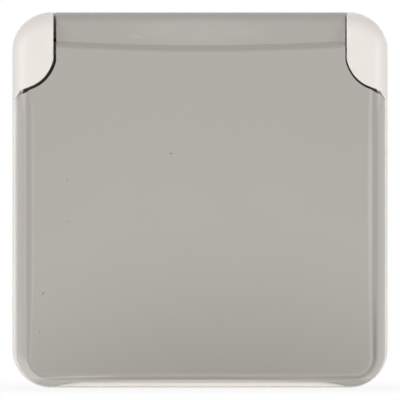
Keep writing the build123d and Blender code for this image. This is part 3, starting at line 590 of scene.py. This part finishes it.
def metal(name, colour, tarnish, roughness):
    """A metal with patches of tarnish and fine marks from rolling or turning."""
    material = new_material(name)
    place = add_node(material, "ShaderNodeTexCoord").outputs["Object"]
    patches = add_node(
        material,
        "ShaderNodeTexNoise",
        {"Vector": place, "Scale": 1 / TARNISH_SIZE, "Detail": TARNISH_DETAIL},
    ).outputs["Fac"]
    marks = add_node(
        material, "ShaderNodeTexNoise", {"Vector": place, "Scale": 1 / ROLLING_MARK}
    ).outputs["Fac"]
    tone = add_node(
        material,
        "ShaderNodeMix",
        {MIX_FACTOR: patches, MIX_FIRST: linear(colour), MIX_SECOND: linear(tarnish)},
        data_type="RGBA",
    ).outputs[MIX_RESULT]
    gloss = add_node(
        material,
        "ShaderNodeMapRange",
        {"Value": patches, "To Min": roughness - SMOOTHER, "To Max": roughness + ROUGHER},
    ).outputs["Result"]
    bump = add_node(
        material,
        "ShaderNodeBump",
        {"Height": marks, "Strength": MARK_STRENGTH, "Distance": MARK_HEIGHT},
    ).outputs["Normal"]
    surface = add_node(
        material,
        "ShaderNodeBsdfPrincipled",
        {"Base Color": tone, "Metallic": 1.0, "Roughness": gloss, "Normal": bump},
    )
    add_node(material, "ShaderNodeOutputMaterial", {"Surface": surface.outputs["BSDF"]})
    return material


# %% Screws, pin, springs and contacts
# Zinc plate: pale grey with a faint yellow cast, and not quite bright.
zinc_plate = metal("zinc_plated_steel", "#CFCDC6", "#B9B4A2", roughness=0.35)
# Drawn and rolled spring steel: a cooler and brighter grey.
spring_steel = metal("spring_steel", "#B8B8B9", "#9A9793", roughness=0.3)
# Steel under old grease: dark, brownish and smeared.
greased_steel = metal("greased_steel", "#7A766E", "#524D45", roughness=0.4)
# Stamped brass: yellow, browned in patches.
brass = metal("brass", "#D9B35F", "#A88441", roughness=0.32)
dress(zinc_plate, "frame_screws", "centre_screw", "terminal_screws", "mechanism_screws")
dress(greased_steel, "hinge_pin")
dress(spring_steel, "earth_bracket")
dress(brass, "live_contact", "neutral_contact", "live_terminal", "neutral_terminal", "earth_terminal")

# %% [markdown]
# ## The lid's spring
# A torsion spring is wound from hard drawn wire round a mandrel. One straight leg stays against the
# frame and the other pushes on the lid, so the coils twist as the lid opens. Here a tube along the same
# line takes the solid's place: rings of points, each square to the line.

# %% The line of the wire
COIL_RADIUS, COIL_LENGTH = 1.9 * MM, 8.1 * MM
TURNS, STEPS_PER_TURN = 9, 32

hinge = Vector(HINGE)
spring_low, spring_high = (Vector(corner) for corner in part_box("lid_spring"))
coil_start = hinge - Vector((COIL_LENGTH / 2, 0, 0))
coil_end = hinge + Vector((COIL_LENGTH / 2, 0, 0))
steps = TURNS * STEPS_PER_TURN
coil = []
for step in range(steps + 1):
    turn = 2 * pi * step / STEPS_PER_TURN
    around = Vector((0, -COIL_RADIUS * sin(turn), COIL_RADIUS * cos(turn)))
    coil.append(coil_start.lerp(coil_end, step / steps) + around)
rear_tip = Vector((coil[0].x, spring_high.y, coil[0].z))
front_tip = Vector((coil[-1].x, spring_low.y, coil[-1].z))
wire = [rear_tip] + coil + [front_tip]
print("wire:", len(wire), "places,", TURNS, "turns")

# %% A tube along it
WIRE_RADIUS, WIRE_SIDES = 0.35 * MM, 10

points, faces = [], []
for at, point in enumerate(wire):
    along = wire[min(at + 1, len(wire) - 1)] - wire[max(at - 1, 0)]
    square = Vector((1, 0, 0)).cross(along).normalized()
    other = along.normalized().cross(square)
    for side in range(WIRE_SIDES):
        angle = 2 * pi * side / WIRE_SIDES
        points.append(point + WIRE_RADIUS * (cos(angle) * square + sin(angle) * other))
for at in range(len(wire) - 1):
    for side in range(WIRE_SIDES):
        first, second = at * WIRE_SIDES + side, at * WIRE_SIDES + (side + 1) % WIRE_SIDES
        faces.append((first, second, second + WIRE_SIDES, first + WIRE_SIDES))
faces.append(tuple(reversed(range(WIRE_SIDES))))
faces.append(tuple(range(len(points) - WIRE_SIDES, len(points))))
print("tube:", len(points), "points,", len(faces), "faces")

# %% The coil as a mesh
spring_mesh = bpy.data.meshes.new("spring_coil")
spring_mesh.from_pydata(points, [], faces)
spring_mesh.shade_smooth()
spring_mesh.materials.append(spring_steel)
spring = bpy.data.objects.new("spring_coil", spring_mesh)
bpy.context.collection.objects.link(spring)
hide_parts("lid_spring")
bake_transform(spring)
print("spring from", round(coil_start.x / MM, 2), "to", round(coil_end.x / MM, 2), "mm")

# %% [markdown]
# ## Floor and background
# The background is plain white. A lamp strong enough to make it so would bleach the object, so the world
# and the floor show white to the camera and to reflections only, and light the object at a plain
# level. The floor is like a light table: it glows, so the lower edges get light too, and mixes a little
# of its real shading in, which keeps the object's soft shadow. Away from the object that share fades out,
# so no horizon shows. Seen from below the floor is clear, so that the cable entry can be looked at.

# %% The world
WHITE = "#FFFFFF"
AMBIENT = 0.31


def glow_level(owner, lighting):
    """A strength of 1 for camera, glossy and transmission rays, and this one for rays that light things."""
    path = add_node(owner, "ShaderNodeLightPath").outputs
    seen = path["Is Camera Ray"]
    for ray in ("Is Glossy Ray", "Is Transmission Ray"):
        either = add_node(owner, "ShaderNodeMath", {0: seen, 1: path[ray]}, operation="MAXIMUM")
        seen = either.outputs["Value"]
    return add_node(
        owner, "ShaderNodeMapRange", {"Value": seen, "To Min": lighting, "To Max": 1.0}
    ).outputs["Result"]


world = bpy.data.worlds.new("studio")
bpy.context.scene.world = world
world.use_nodes = True
world.node_tree.nodes.clear()
sky = add_node(
    world, "ShaderNodeBackground", {"Color": linear(WHITE), "Strength": glow_level(world, AMBIENT)}
)
add_node(world, "ShaderNodeOutputWorld", {"Surface": sky.outputs["Background"]})
print("world lights at", AMBIENT)

# %% A light table
TABLE_GLOW = 0.6
TABLE_TOP = "#F4F3F1"
SHADOW_SHARE = 0.12
SHADOW_BEGIN, SHADOW_END = 50 * MM, 190 * MM

light_table = new_material("light_table")
table_shade = add_node(light_table, "ShaderNodeBsdfDiffuse", {"Color": linear(TABLE_TOP)}).outputs["BSDF"]
table_glow = add_node(
    light_table,
    "ShaderNodeEmission",
    {"Color": linear(WHITE), "Strength": glow_level(light_table, TABLE_GLOW)},
).outputs["Emission"]
table_place = add_node(light_table, "ShaderNodeTexCoord").outputs["Object"]
table_reach = add_node(
    light_table, "ShaderNodeVectorMath", {0: table_place}, operation="LENGTH"
).outputs["Value"]
table_share = add_node(
    light_table,
    "ShaderNodeMapRange",
    {
        "Value": table_reach,
        "From Min": SHADOW_BEGIN,
        "From Max": SHADOW_END,
        "To Min": SHADOW_SHARE,
        "To Max": 0.0,
    },
    interpolation_type="SMOOTHSTEP",
).outputs["Result"]
table_mix = add_node(
    light_table, "ShaderNodeMixShader", {0: table_share, 1: table_glow, 2: table_shade}
).outputs["Shader"]
table_back = add_node(light_table, "ShaderNodeNewGeometry").outputs["Backfacing"]
table_clear = add_node(light_table, "ShaderNodeBsdfTransparent").outputs["BSDF"]
table_top = add_node(light_table, "ShaderNodeMixShader", {0: table_back, 1: table_mix, 2: table_clear})
add_node(light_table, "ShaderNodeOutputMaterial", {"Surface": table_top.outputs["Shader"]})
print("shadow fades out at", round(SHADOW_END / MM), "mm")

# %% The floor
FLOOR_SIZE = 8.0
FLOOR_GAP = 0.1 * MM

middle = (low + high) / 2
bpy.ops.mesh.primitive_plane_add(size=FLOOR_SIZE, location=(middle.x, middle.y, low.z - FLOOR_GAP))
floor = bpy.context.object
floor.name = "floor"
floor.data.materials.append(light_table)
print("floor at", round(floor.location.z / MM, 2), "mm")

# %% [markdown]
# ## Light and camera
# Two softboxes stand left and right, as for a catalogue picture, and give the rounded edges their narrow
# highlights. Two fill lamps stand close to the lens, so their light reaches the narrow strips of frame
# right beside the lid. They are cross-polarised, as is usual for copy work: their light shows no glare, so
# they are hidden from glossy rays. A larger lamp hangs behind, for the top and the back of the box. The
# camera looks straight at the lid from far off through a long lens, so that the frame behind the lid isn't
# made smaller.

# %% Softboxes
# Each lamp: name, place and size in metres, radiance, and whether reflections show it.
LAMPS = [
    ("softbox_left", (-1.05, -0.55, 0.18), 0.4, 7.6, True),
    ("softbox_right", (1.05, -0.55, 0.18), 0.4, 7.0, True),
    ("fill_left", (-0.14, -1.3, 0.05), 0.2, 19, False),
    ("fill_right", (0.14, -1.3, 0.05), 0.2, 19, False),
    ("back_light", (0, 0.95, 1.0), 0.6, 8, False),
]

for lamp_name, lamp_place, lamp_size, radiance, glare in LAMPS:
    lamp = bpy.data.lights.new(lamp_name, "AREA")
    lamp.size = lamp_size
    # A flat lamp sends out pi times its radiance from each square metre.
    lamp.energy = radiance * pi * lamp_size**2
    softbox = bpy.data.objects.new(lamp_name, lamp)
    softbox.location = lamp_place
    softbox.rotation_euler = (middle - Vector(lamp_place)).to_track_quat("-Z", "Y").to_euler()
    softbox.visible_camera = False
    softbox.visible_glossy = glare
    bpy.context.collection.objects.link(softbox)
    print(lamp_name, round(lamp.energy, 2), "W")

# %% Camera
VIEW_DISTANCE, VIEW_END = 4.0, 100
VIEW_WIDTH = 85.2 * MM
SENSOR = 36.0

camera_data = bpy.data.cameras.new("camera")
camera_data.sensor_width = SENSOR
camera_data.lens = SENSOR * VIEW_DISTANCE / VIEW_WIDTH
camera_data.clip_end = VIEW_END
camera = bpy.data.objects.new("camera", camera_data)
target = Vector((0, low.y, middle.z))
camera.location = target - Vector((0, VIEW_DISTANCE, 0))
camera.rotation_euler = (target - camera.location).to_track_quat("-Z", "Y").to_euler()
bpy.context.collection.objects.link(camera)
bpy.context.scene.camera = camera
bpy.context.scene.view_settings.view_transform = "Standard"
print("camera", [round(v, 4) for v in camera.location])
